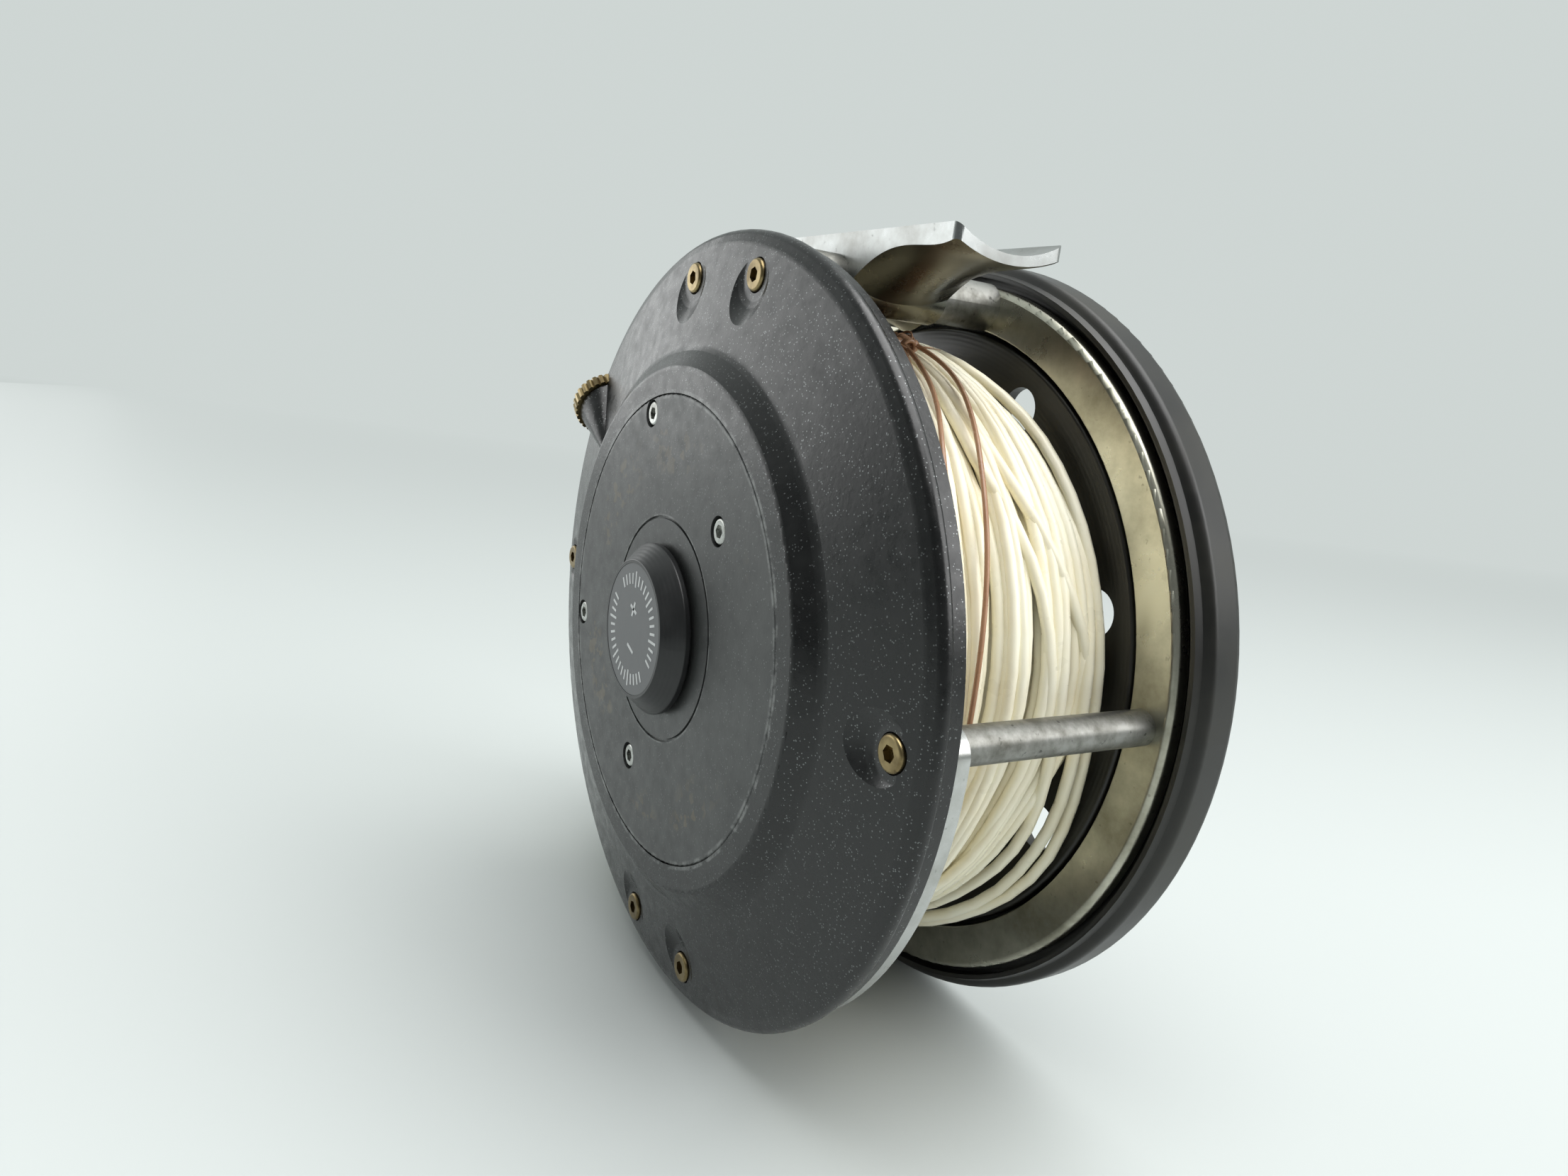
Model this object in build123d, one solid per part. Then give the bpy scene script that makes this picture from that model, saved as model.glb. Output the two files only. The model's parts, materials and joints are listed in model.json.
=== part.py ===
from build123d import *
import math
import os

# A salmon fly reel. Millimetres. Y is the spool's axis: -Y is the back plate, +Y the handle side.
# +Z points at the reel foot. Everything is drawn about the spool's axis and moved at the end,
# so that the origin is where the rod's butt rests, in the middle of the foot's saddle.

# ---- driving dimensions ----
PLATE_R = 50.8            # back plate, outside
PLATE_WALL = 2.1          # thickness of the cast dome
DOME_RISE = 5.8           # how far the cover disc stands out from the plate's edge
SKIRT_DEPTH = 3.0         # plate edge to the seat of the cage
FRAME_WIDTH = 33.4        # plate edge to the near face of the far ring
COVER_R = 30.2            # cover disc
COVER_T = 2.4
KNOB_RING_R = 14.5        # groove round the drag knob
RING_STEP = 1.4           # both cage rings stand this far inside the plate's edge
RING_W = 5.6
FAR_RING_T = 2.4
NEAR_RING_T = 1.8
PILLAR_R = 2.1
PILLAR_INSET = 3.7        # middle of the cage pillars, inside the rings' outer edge
FOOT_PILLAR_R = 3.1
FOOT_PILLAR_OUT = 1.0     # the foot pillars stand this much further out
FOOT_PILLAR_SPREAD = 10.5  # degrees to each side of the foot
LOW_PILLAR_SPREAD = 10.5   # degrees to each side of the bottom
AXLE_R = 3.0
ARBOR_R = 17.0
FLANGE_T = 1.5
RIM_T = 2.0               # wall of the palming rim
RIM_DEPTH = 6.4
LINE_BELOW = 2.0          # the wound fly line ends this far below the near flange's edge
LINE_DEPTH = 10.2         # fly line over the backing
LINE_BULGE = 0.8          # loose turns stand this much proud of the wound line
KNOB_R = 11.1             # drag knob at its widest
KNOB_FACE_R = 8.9
KNOB_H = 3.7
FOOT_LENGTH = 62.0
FOOT_FLANGE_GAP = 2.7      # the foot's near edge, seen from above, from the near flange's inner face
FOOT_ABOVE = 0.6          # top edges of the foot stand this far above the plate's edge
FOOT_SLEEVE_T = 0.4       # the foot's casting round its pillars
SADDLE_R = 14.0           # hollow that takes the rod's butt
FOOT_T = 1.6              # thickness of the foot's blades along their edges
GEAR_TEETH = 36
GEAR_R = 11.0
GEAR_T = 2.0
PIN_CIRCLE_R = 7.0        # three pins carry the gear on the spool
TOOTH_DEPTH = 0.9
WHEEL_R = 5.15            # knurled wheel of the check adjuster
WHEEL_T = 1.9
WHEEL_INSET = 2.6         # its middle, inside the plate's edge
ADJUSTER_ANGLE = 147.0    # where the adjuster stands round the plate, degrees from +X
HANDLE_INSET = 7.2        # its middle, inside the far flange's edge
HANDLE_ANGLE = 219.2
HANDLE_L = 21.0
LEADER_D = 0.6

# ---- fits and clearances ----
RUN = 0.05                # radial play of a turning or sliding fit
SCREW_PLAY = 0.05         # shank in its hole
SPOOL_GAP = 0.6           # the spool's edges inside the cage
AIR = 0.3                 # between pieces that pass each other

RIM_GAP = 1.0             # palming rim round the far ring
NEAR_GAP = 1.6            # near flange inside the near ring

# ---- places that follow ----
RING_OUT_R = PLATE_R - RING_STEP
RING_IN_R = RING_OUT_R - RING_W
PILLAR_PITCH_R = RING_OUT_R - PILLAR_INSET
FOOT_PILLAR_AT_R = PILLAR_PITCH_R + FOOT_PILLAR_OUT
FOOT_SLEEVE_R = FOOT_PILLAR_R + FOOT_SLEEVE_T
NEAR_FLANGE_R = RING_IN_R - NEAR_GAP
LINE_R = NEAR_FLANGE_R - LINE_BELOW
BACKING_R = LINE_R - LINE_DEPTH
FOOT_EDGE_Z = PLATE_R + FOOT_ABOVE
WHEEL_AT_R = PLATE_R - WHEEL_INSET
FOOT_MID_Y = FRAME_WIDTH / 2
COVER_OUT = -DOME_RISE
COVER_IN = COVER_OUT + COVER_T
FAR_RING_OUT = FRAME_WIDTH + FAR_RING_T
NEAR_RING_END = SKIRT_DEPTH + NEAR_RING_T
NEAR_FLANGE_Y = NEAR_RING_END + 0.2
NEAR_FLANGE_IN = NEAR_FLANGE_Y + FLANGE_T
FOOT_WIDTH = 2 * (FOOT_MID_Y - NEAR_FLANGE_IN - FOOT_FLANGE_GAP)
FOOT_SEAT_Z = FOOT_EDGE_Z - (SADDLE_R - math.sqrt(SADDLE_R**2 - (FOOT_WIDTH / 2)**2))
FAR_FLANGE_Y = FRAME_WIDTH + 0.3
FAR_FLANGE_OUT = FAR_FLANGE_Y + FLANGE_T
FAR_FLANGE_R = RING_IN_R - SPOOL_GAP
RIM_WEB_Y = FAR_RING_OUT + 0.5
RIM_WEB_T = 1.6
RIM_IN_R = RING_OUT_R + RIM_GAP
RIM_R = RIM_IN_R + RIM_T
HANDLE_AT_R = FAR_FLANGE_R - HANDLE_INSET
RIM_LIP_Y = FRAME_WIDTH + 0.9
HUB_R = 13.0
HUB_TOP = FAR_FLANGE_OUT + 4.4
EDGE_DROP_R = PLATE_R - 1.8        # where the dome's slope turns into its rounded edge
SHOULDER_R = COVER_R + 3.2


# ---- helpers ----
def around(angle):
    """Turns a piece drawn on +X to the given angle round the spool's axis."""
    return Rot(0, -angle, 0)


def polar(radius, angle):
    return radius * math.cos(math.radians(angle)), radius * math.sin(math.radians(angle))


def rod(radius, start, end, x=0.0, z=0.0):
    """A cylinder along Y from start to end."""
    return Pos(x, (start + end) / 2, z) * Rot(90, 0, 0) * Cylinder(radius, end - start)


def tube(outer, inner, start, end, x=0.0, z=0.0):
    return rod(outer, start, end, x, z) - rod(inner, start - 1, end + 1, x, z)


def radial_rod(radius, start, end, y=0.0, z=0.0):
    """A cylinder along X, which around() turns to its angle."""
    return Pos((start + end) / 2, y, z) * Rot(0, 90, 0) * Cylinder(radius, end - start)


def turned(points, rounds=None):
    """Revolves an outline of (radius, y) points; rounds gives {point number: fillet radius}."""
    face = make_face(Polyline(*points, close=True))
    for number, radius in (rounds or {}).items():
        corner = Vector(*points[number])
        nearest = sorted(face.vertices(), key=lambda v: (Vector(v.X, v.Y) - corner).length)[0]
        face = fillet(nearest, radius)
    return revolve(face, axis=Axis.Y)


def hexagon(across, depth):
    return extrude(RegularPolygon(across / 2, 6, major_radius=False), depth, both=True)


def socket_screw(head_r, head_h, shank_r, length, socket_af, dome=0.35):
    """A hexagon socket screw: its head stands on y=0 towards -Y, its shank runs along +Y."""
    head = fillet(rod(head_r, -head_h, 0).edges().group_by(Axis.Y)[0], dome * head_h)
    socket = Pos(0, -head_h, 0) * Rot(90, 0, 0) * hexagon(socket_af, 0.62 * head_h)
    return head + rod(shank_r, 0, length) - socket


def countersunk_screw(head_r, shank_r, length):
    """Its flat head is at y=0 and its shank runs along -Y."""
    cone = Pos(0, -head_r * 0.3, 0) * Rot(-90, 0, 0) * Cone(shank_r, head_r, head_r * 0.6)
    slot = Box(head_r * 3, head_r * 0.4, head_r * 0.28)
    return cone + rod(shank_r, -length, -head_r * 0.3) - slot


def pillar_angles():
    foot = [90 - FOOT_PILLAR_SPREAD, 90 + FOOT_PILLAR_SPREAD]
    return foot, [0.0, 180.0, 270 - LOW_PILLAR_SPREAD, 270 + LOW_PILLAR_SPREAD]


FOOT_ANGLES, CAGE_ANGLES = pillar_angles()
ALL_ANGLES = FOOT_ANGLES + CAGE_ANGLES


# ---- back plate, cover and their screws ----
SEAM_SCREW_R = COVER_R - 1.9
INNER_SCREW_R = KNOB_RING_R + 6.2
SEAM_SCREWS = [(SEAM_SCREW_R, 107.0), (SEAM_SCREW_R, 190.0)]
INNER_SCREWS = [(INNER_SCREW_R, 48.0), (INNER_SCREW_R, 253.5)]
DISH_Y = -1.4             # floor of the dish round each pillar screw
DISH_R = 2.9
SCREW_FLOOR_Y = -0.6      # bottom of the pocket that the screw's head sits in
BUTTON_R = 1.95
BUTTON_H = 1.2
PILLAR_SCREW_R = 1.2
COVER_SCREW_R = 0.8
COVER_HEAD_R = 1.6
COVER_HEAD_H = 0.9
MECHANISM_R = INNER_SCREW_R + 2.9
MECHANISM_T = 1.2
MECHANISM_IN = COVER_IN + MECHANISM_T
LEDGE_R = COVER_R - 3.8
LEDGE_T = 1.6


def dome():
    top = COVER_OUT
    wall = PLATE_WALL
    points = [
        (LEDGE_R, COVER_IN), (COVER_R + RUN, COVER_IN), (COVER_R + RUN, top),
        (SHOULDER_R, top), (SHOULDER_R + 2.8, top + 2.1), (EDGE_DROP_R, -0.95),
        (PLATE_R, -0.2), (PLATE_R, 1.1), (PLATE_R - 0.7, 1.1), (PLATE_R - 0.7, SKIRT_DEPTH),
        (PLATE_R - 2.4, SKIRT_DEPTH), (PLATE_R - 2.4, wall - 0.95),
        (SHOULDER_R + 2.0, COVER_IN + LEDGE_T), (LEDGE_R, COVER_IN + LEDGE_T),
    ]
    return turned(points, {3: 1.0, 4: 3.0, 5: 2.5, 6: 1.1, 7: 0.4})


def screw_recess():
    """A shallow dish with a flared wall, and a pocket in its floor for the screw's head."""
    deep = DOME_RISE + DISH_Y
    wall = [(DISH_R, DISH_Y), (DISH_R + 1.0, DISH_Y - 0.4), (DISH_R + 5.8, DISH_Y - 3.0),
            (DISH_R + 5.8, DISH_Y - 3.0 - deep), (0, DISH_Y - 3.0 - deep)]
    dish = turned([(0, DISH_Y)] + wall, {1: 1.2, 2: 1.6})
    return dish + rod(BUTTON_R + AIR / 2, DISH_Y - 1, SCREW_FLOOR_Y)


def adjuster_fairing():
    """Half a cone on the dome that shrouds the inner side of the knurled wheel."""
    base_x = WHEEL_AT_R - WHEEL_T / 2 - 0.15
    tip_x = SHOULDER_R + 2.2
    base = Plane(origin=(base_x, 0.15, 0), x_dir=(0, 0, 1), z_dir=(-1, 0, 0)) * Circle(WHEEL_R - 0.5)
    tip = Plane(origin=(tip_x, -DOME_RISE + 2.5, 0), x_dir=(0, 0, 1), z_dir=(-1, 0, 0)) * Circle(0.5)
    cone = loft([base, tip])
    below = Pos((base_x + tip_x) / 2, SKIRT_DEPTH + 4.6, 0) * Box(30, 10, 30)
    return cone - below


def guide_boss():
    return radial_rod(2.5, COVER_R + 0.9, WHEEL_AT_R - WHEEL_T / 2 - 0.15)


def back_plate():
    plate = dome()
    for angle in ALL_ANGLES:
        boss_r = (FOOT_PILLAR_R if angle in FOOT_ANGLES else PILLAR_R) + 1.0
        x, z = polar(PILLAR_PITCH_R, angle)
        plate += rod(boss_r, 0.2, SKIRT_DEPTH, x, z)
    plate += around(ADJUSTER_ANGLE) * (adjuster_fairing() + guide_boss())
    for angle in ALL_ANGLES:
        x, z = polar(PILLAR_PITCH_R, angle)
        plate -= Pos(x, 0, z) * screw_recess()
        plate -= rod(PILLAR_SCREW_R + SCREW_PLAY, -1, SKIRT_DEPTH + 1, x, z)
    slot = radial_rod(WHEEL_R + AIR, WHEEL_AT_R - WHEEL_T / 2 - 0.15, WHEEL_AT_R + WHEEL_T / 2 + 0.15)
    bore = radial_rod(ADJUSTER_SCREW_R + RUN, LEDGE_R - 2, WHEEL_AT_R)
    plate -= around(ADJUSTER_ANGLE) * (slot + bore)
    for radius, angle in SEAM_SCREWS:
        x, z = polar(radius, angle)
        plate -= rod(COVER_SCREW_R + SCREW_PLAY, COVER_IN - 1, 2, x, z)
    return plate


def cover_disc():
    groove = 0.35
    points = [(AXLE_R, COVER_OUT + 1.0), (KNOB_FACE_R, COVER_OUT + 1.0), (KNOB_FACE_R, COVER_OUT),
              (COVER_R, COVER_OUT), (COVER_R, COVER_IN), (AXLE_R, COVER_IN)]
    disc = turned(points, {3: 0.25})
    disc -= tube(KNOB_RING_R + groove / 2, KNOB_RING_R - groove / 2, COVER_OUT - 1, COVER_OUT + groove)
    for radius, angle in SEAM_SCREWS + INNER_SCREWS:
        x, z = polar(radius, angle)
        disc -= rod(COVER_HEAD_R + 0.25, COVER_OUT - 1, COVER_OUT + COVER_HEAD_H + 0.15, x, z)
        disc -= rod(COVER_SCREW_R + SCREW_PLAY, COVER_OUT, 0, x, z)
    return disc


def cover_screws():
    screws = []
    for radius, angle in SEAM_SCREWS + INNER_SCREWS:
        x, z = polar(radius, angle)
        screw = socket_screw(COVER_HEAD_R, COVER_HEAD_H, COVER_SCREW_R, 2.6, 1.5)
        screws.append(Pos(x, COVER_OUT + COVER_HEAD_H + 0.15, z) * screw)
    return screws


# ---- cage ----
def near_ring():
    """Runs from the right pillar round the bottom to the left one; the line leaves above it."""
    mid = (RING_IN_R + RING_OUT_R + 0.5) / 2
    half = (RING_OUT_R + 0.5 - RING_IN_R) / 2
    ring = tube(mid + half, mid - half, SKIRT_DEPTH, NEAR_RING_END)
    ring -= Pos(0, SKIRT_DEPTH, 75) * Box(150, 20, 150)
    for x in (-mid, mid):
        ring += rod(half, SKIRT_DEPTH, NEAR_RING_END, x, 0)
    for angle in CAGE_ANGLES:
        x, z = polar(PILLAR_PITCH_R, angle)
        ring -= rod(PILLAR_SCREW_R + SCREW_PLAY, 0, 10, x, z)
    return ring


def far_ring():
    points = [(RING_IN_R, FRAME_WIDTH), (RING_OUT_R, FRAME_WIDTH), (RING_OUT_R, FAR_RING_OUT),
              (RING_IN_R, FAR_RING_OUT)]
    ring = turned(points, {1: 0.8, 2: 0.5, 0: 0.2})
    for angle in ALL_ANGLES:
        x, z = polar(PILLAR_PITCH_R, angle)
        ring -= rod(0.9 + SCREW_PLAY, 0, 60, x, z)
        ring -= Pos(x, FAR_RING_OUT - 0.54, z) * Rot(-90, 0, 0) * Cone(0.9, 1.8 + SCREW_PLAY, 1.08)
    return ring


def pillar(radius, start, angle, out=0.0):
    post = rod(radius, start, FRAME_WIDTH, *polar(PILLAR_PITCH_R + out, angle))
    x, z = polar(PILLAR_PITCH_R, angle)
    post -= rod(PILLAR_SCREW_R + SCREW_PLAY, start - 1, start + 7, x, z)
    return post - rod(0.9 + SCREW_PLAY, FRAME_WIDTH - 6, FRAME_WIDTH + 1, x, z)


def cage_pillars():
    return [pillar(PILLAR_R, NEAR_RING_END, angle) for angle in CAGE_ANGLES]


def foot_pillars():
    return [pillar(FOOT_PILLAR_R, SKIRT_DEPTH, angle, FOOT_PILLAR_OUT) for angle in FOOT_ANGLES]


def rear_pillar_screws():
    screws = []
    for angle in ALL_ANGLES:
        x, z = polar(PILLAR_PITCH_R, angle)
        start = NEAR_RING_END if angle in CAGE_ANGLES else SKIRT_DEPTH
        screw = socket_screw(BUTTON_R, BUTTON_H, PILLAR_SCREW_R, start + 6 - SCREW_FLOOR_Y, 1.6, 0.3)
        screws.append(Pos(x, SCREW_FLOOR_Y, z) * around(angle) * screw)
    return screws


def front_ring_screws():
    screws = []
    for angle in ALL_ANGLES:
        x, z = polar(PILLAR_PITCH_R, angle)
        screws.append(Pos(x, FAR_RING_OUT, z) * around(angle) * countersunk_screw(1.8, 0.9, 7.5))
    return screws


# ---- reel foot ----
def foot_section(x, side_z, middle_z):
    """The foot cut across at x: flat above, and rounded below as the saddle is."""
    half = FOOT_WIDTH / 2
    top = FOOT_EDGE_Z + 1.0
    low = ThreePointArc((-half, side_z), (0, middle_z), (half, side_z))
    rest = Polyline((half, side_z), (half, top), (-half, top), (-half, side_z))
    return Plane(origin=(x, FOOT_MID_Y, 0), x_dir=(0, 1, 0), z_dir=(1, 0, 0)) * make_face(low + rest)


def reel_foot():
    """A saddle for the rod's butt: two scooped blades on a block that the foot pillars run through."""
    half = FOOT_LENGTH / 2
    sag = FOOT_EDGE_Z - FOOT_SEAT_Z
    edge = FOOT_EDGE_Z - FOOT_T
    pillar_x, pillar_z = polar(FOOT_PILLAR_AT_R, FOOT_ANGLES[0])
    root = pillar_x + FOOT_SLEEVE_R
    low = pillar_z - FOOT_SLEEVE_R + 1.2
    stations = [
        (0, low, low - 0.2), (pillar_x + 1.0, low + 0.2, low), (root + 1.2, edge - 3.4, edge - sag - 3.0),
        (root + 5.0, edge - 1.4, edge - sag - 1.7), (root + 9.0, edge - 0.5, edge - sag - 0.5),
        (half, edge, edge - sag + 0.5),
    ]
    blade = loft([foot_section(*station) for station in stations])
    foot = blade + mirror(blade, Plane.YZ)
    above = Pos(0, FOOT_MID_Y, FOOT_EDGE_Z + 5) * Box(FOOT_LENGTH + 2, FOOT_WIDTH + 2, 10)
    saddle = Pos(0, FOOT_MID_Y, FOOT_SEAT_Z + SADDLE_R) * Rot(0, 90, 0) * Cylinder(SADDLE_R, FOOT_LENGTH * 2)
    foot -= above + saddle
    corners = foot.edges().filter_by(lambda e: abs(e.center().X) > half - 0.01
                                     and abs(e.center().Y - FOOT_MID_Y) > FOOT_WIDTH / 2 - 0.01)
    foot = fillet(corners, 0.8)
    near, far = FOOT_MID_Y - FOOT_WIDTH / 2, FOOT_MID_Y + FOOT_WIDTH / 2
    for x in (-pillar_x, pillar_x):
        foot += rod(FOOT_SLEEVE_R, near, far, x, pillar_z)
    for x in (-pillar_x, pillar_x):
        foot -= rod(FOOT_PILLAR_R, 0, FRAME_WIDTH, x, pillar_z)
    return foot - above - saddle


# ---- axle and drag ----
AXLE_BORE_R = 1.6
DRAG_SCREW_R = 1.5
KEY_W = 2.0
KEY_L = 12.0
KEY_Y = 0.9
COLLAR_R = 8.0
COLLAR_T = 1.2
CORK_T = 0.8
BACK_OFF = 0.3            # how far the pressure collar draws back
GEAR_Y = NEAR_FLANGE_Y - GEAR_T
CORK_Y = GEAR_Y - 0.05
COLLAR_Y = CORK_Y - CORK_T
AXLE_GROOVE_R = 2.0
LATCH_T = 1.2
LATCH_Y = HUB_TOP - 2.6
AXLE_END = HUB_TOP + 0.4


def mechanism_plate():
    plate = tube(MECHANISM_R, AXLE_R, COVER_IN, MECHANISM_IN)
    plate += tube(AXLE_R + 2.2, AXLE_R, MECHANISM_IN, KEY_Y - KEY_W / 2 - BACK_OFF - 0.3)
    for radius, angle in INNER_SCREWS:
        x, z = polar(radius, angle)
        plate -= rod(COVER_SCREW_R + SCREW_PLAY, COVER_IN - 1, 2, x, z)
    x, z = pawl_pivot()
    return plate - rod(PAWL_POST_R, COVER_IN - 1, 5, x, z)


def axle():
    shaft = chamfer(rod(AXLE_R, COVER_OUT + 1.0, AXLE_END).edges().group_by(Axis.Y)[-1], 0.6)
    shaft -= tube(AXLE_R + 1, AXLE_GROOVE_R, LATCH_Y - 0.1, LATCH_Y + LATCH_T + 0.1)
    shaft -= rod(AXLE_BORE_R, COVER_OUT, KEY_Y + KEY_W / 2)
    window = Box(2 * AXLE_R + 2, KEY_W + 2 * RUN + BACK_OFF, KEY_W + 2 * RUN)
    return shaft - Pos(0, KEY_Y - BACK_OFF / 2, 0) * window


def drag_cross_key():
    return Pos(0, KEY_Y, 0) * Box(KEY_L, KEY_W, KEY_W)


def pressure_collar():
    collar = tube(COLLAR_R, AXLE_R + RUN, COLLAR_Y - COLLAR_T, COLLAR_Y)
    return collar - Pos(0, KEY_Y, 0) * Box(KEY_L, KEY_W, KEY_W)


def friction_washer():
    return tube(COLLAR_R - 0.3, AXLE_R + 1.2, COLLAR_Y, CORK_Y)


def drag_knob():
    top = COVER_OUT - KNOB_H
    points = [(DRAG_SCREW_R, COVER_OUT + 0.6), (KNOB_FACE_R - 0.6, COVER_OUT + 0.6),
              (KNOB_FACE_R - 0.6, COVER_OUT - 0.5), (KNOB_R, COVER_OUT - 0.5),
              (KNOB_R, COVER_OUT - 1.3), (KNOB_FACE_R, top), (KNOB_FACE_R - 0.4, top),
              (KNOB_FACE_R - 0.4, top + 0.4), (DRAG_SCREW_R, top + 0.4)]
    return turned(points, {3: 0.25, 4: 0.3, 5: 0.15})


def knob_badge():
    top = COVER_OUT - KNOB_H
    return rod(KNOB_FACE_R - 0.4 - 0.02, top + 0.05, top + 0.4)


def drag_screw():
    return rod(DRAG_SCREW_R, COVER_OUT - KNOB_H + 0.4, KEY_Y - KEY_W / 2 - BACK_OFF - 0.05)


# ---- check: gear, pawl, spring and adjuster ----
ADJUSTER_SCREW_R = 1.2
PAWL_POST_R = 1.1
PAWL_EYE_R = 2.1
PAWL_TIP_R = GEAR_R - TOOTH_DEPTH + AIR
PAWL_ARM_L = 9.0
PAWL_TIP_TURN = -30.0     # the pawl bites the gear this far round from the adjuster
PAWL_LOW_Y = -1.3
PAWL_TOP_Y = GEAR_Y + GEAR_T - 0.2
SPRING_R = 1.2
SPRING_WIRE_R = 0.22
SPRING_TURNS = 4
SPRING_START = GEAR_R + 5.0        # clear of the pawl's heel as it swings out
SPRING_L = 3.2
BLOCK_START = SPRING_START + SPRING_L
BLOCK_L = 3.6
BLOCK_TRAVEL = 0.5
BLOCK_W = 4.2


def pawl_tip():
    return polar(PAWL_TIP_R, ADJUSTER_ANGLE + PAWL_TIP_TURN)


def pawl_pivot():
    angle = math.radians(ADJUSTER_ANGLE + PAWL_TIP_TURN + 90)
    x, z = pawl_tip()
    return x + PAWL_ARM_L * math.cos(angle), z + PAWL_ARM_L * math.sin(angle)


def check_gear():
    """Ratchet wheel with pointed teeth; one tooth space faces the pawl."""
    pitch = 360 / GEAR_TEETH
    start = ADJUSTER_ANGLE + PAWL_TIP_TURN
    points = []
    for number in range(GEAR_TEETH):
        angle = start + number * pitch
        points.append(polar(GEAR_R - TOOTH_DEPTH, angle))
        points.append(polar(GEAR_R, angle + pitch * 0.42))
        points.append(polar(GEAR_R, angle + pitch * 0.58))
    outline = make_face(Polyline(*[(x, -z) for x, z in points], close=True))
    gear = Pos(0, GEAR_Y, 0) * Rot(-90, 0, 0) * extrude(outline, GEAR_T)
    gear -= rod(AXLE_R + 0.4, 0, 20)
    for number in range(3):
        x, z = polar(PIN_CIRCLE_R, 30 + 120 * number)
        gear -= rod(0.8 + SCREW_PLAY, 0, 20, x, z)
    return gear


def gear_pins():
    pins = []
    for number in range(3):
        x, z = polar(PIN_CIRCLE_R, 30 + 120 * number)
        pins.append(rod(0.8, GEAR_Y + 0.2, NEAR_FLANGE_Y + 1.2, x, z))
    return pins


def check_pawl():
    """A lever: its eye turns on the post, its nose sits in the gear, its heel takes the spring."""
    px, pz = pawl_pivot()
    tx, tz = pawl_tip()
    direction = math.degrees(math.atan2(tz - pz, tx - px))
    arm = Pos(PAWL_ARM_L / 2 - 0.3, (GEAR_Y + 0.1 + PAWL_TOP_Y) / 2, 0)
    arm *= Box(PAWL_ARM_L - 0.6, PAWL_TOP_Y - GEAR_Y - 0.1, 1.6)
    arm = Pos(0, 0, 1.7) * arm
    nose_y = (GEAR_Y + 0.1 + PAWL_TOP_Y) / 2
    nose = extrude(make_face(Polyline((-1.0, 1.3), (1.0, 1.3), (0.15, 0.0), (-0.15, 0.0), close=True)),
                   (PAWL_TOP_Y - GEAR_Y - 0.1) / 2, both=True)
    nose = Pos(PAWL_ARM_L, nose_y, 0) * Rot(-90, 0, 0) * mirror(nose, Plane.XZ)
    heel = Pos(2.2, (PAWL_LOW_Y + 1.2) / 2, 1.2) * Box(4.4, 1.2 - PAWL_LOW_Y, 1.8)
    lever = arm + nose + heel + rod(PAWL_EYE_R, PAWL_LOW_Y, PAWL_TOP_Y)
    lever -= rod(PAWL_POST_R + RUN, -20, 20)
    return Pos(px, 0, pz) * around(direction) * lever


def pawl_post():
    x, z = pawl_pivot()
    return rod(PAWL_POST_R, COVER_IN, PAWL_TOP_Y + 0.15, x, z)


def check_spring():
    pitch = (BLOCK_START - SPRING_START - 2 * SPRING_WIRE_R) / SPRING_TURNS
    path = Helix(pitch, pitch * SPRING_TURNS, SPRING_R - SPRING_WIRE_R)
    start = path @ 0
    wire = sweep(Plane(origin=start, z_dir=path % 0) * Circle(SPRING_WIRE_R), path)
    coil = Pos(SPRING_START + SPRING_WIRE_R, 0, 0) * Rot(0, 90, 0) * wire
    return around(ADJUSTER_ANGLE) * coil


def check_bracket():
    """A channel riveted to the mechanism plate that keeps the block and spring in line."""
    wall = 1.0
    length = BLOCK_START + BLOCK_L + BLOCK_TRAVEL + 0.2 - SPRING_START - 0.6
    middle = SPRING_START + 0.6 + length / 2
    outer = Pos(middle, (MECHANISM_IN + 2.6) / 2, 0)
    outer *= Box(length, 2.6 - MECHANISM_IN, BLOCK_W + 2 * wall)
    channel = Pos(middle, 3.0, 0) * Box(length + 2, 2 * (3.0 + BLOCK_W / 2 - 0.4), BLOCK_W + 2 * RUN)
    bracket = outer - channel
    return around(ADJUSTER_ANGLE) * bracket


def tension_block():
    block = Pos(BLOCK_START + BLOCK_L / 2, 0.2, 0) * Box(BLOCK_L, 2.8, BLOCK_W)
    return around(ADJUSTER_ANGLE) * (block - radial_rod(ADJUSTER_SCREW_R + RUN, BLOCK_START + 1.0, 40))


def adjuster_screw():
    return around(ADJUSTER_ANGLE) * radial_rod(ADJUSTER_SCREW_R, BLOCK_START + 1.6, WHEEL_AT_R - WHEEL_T / 2)


def adjuster_wheel():
    """A disc with straight knurling round its rim."""
    teeth = 30
    blank = radial_rod(WHEEL_R, WHEEL_AT_R - WHEEL_T / 2, WHEEL_AT_R + WHEEL_T / 2)
    for number in range(teeth):
        angle = 360 * number / teeth
        groove = Pos(WHEEL_AT_R, 0, 0) * Rot(angle, 0, 0) * Pos(0, WHEEL_R, 0)
        blank -= groove * Rot(45, 0, 0) * Box(WHEEL_T + 1, 0.45, 0.45)
    return around(ADJUSTER_ANGLE) * blank


# ---- spool ----
CAP_SCREWS = [(-8.8, -3.4), (8.8, -3.4)]
HOLE_R = 2.9
HOLE_AT_R = FAR_FLANGE_R - 5.6
HOLES = 8
HOLE_PHASE = 16.7
SMALL_HOLE_R = 2.4
SMALL_HOLE_AT_R = HOLE_AT_R - 1.4
INNER_HOLE_R = 3.2
INNER_HOLE_AT_R = HOLE_AT_R - 11.5


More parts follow.
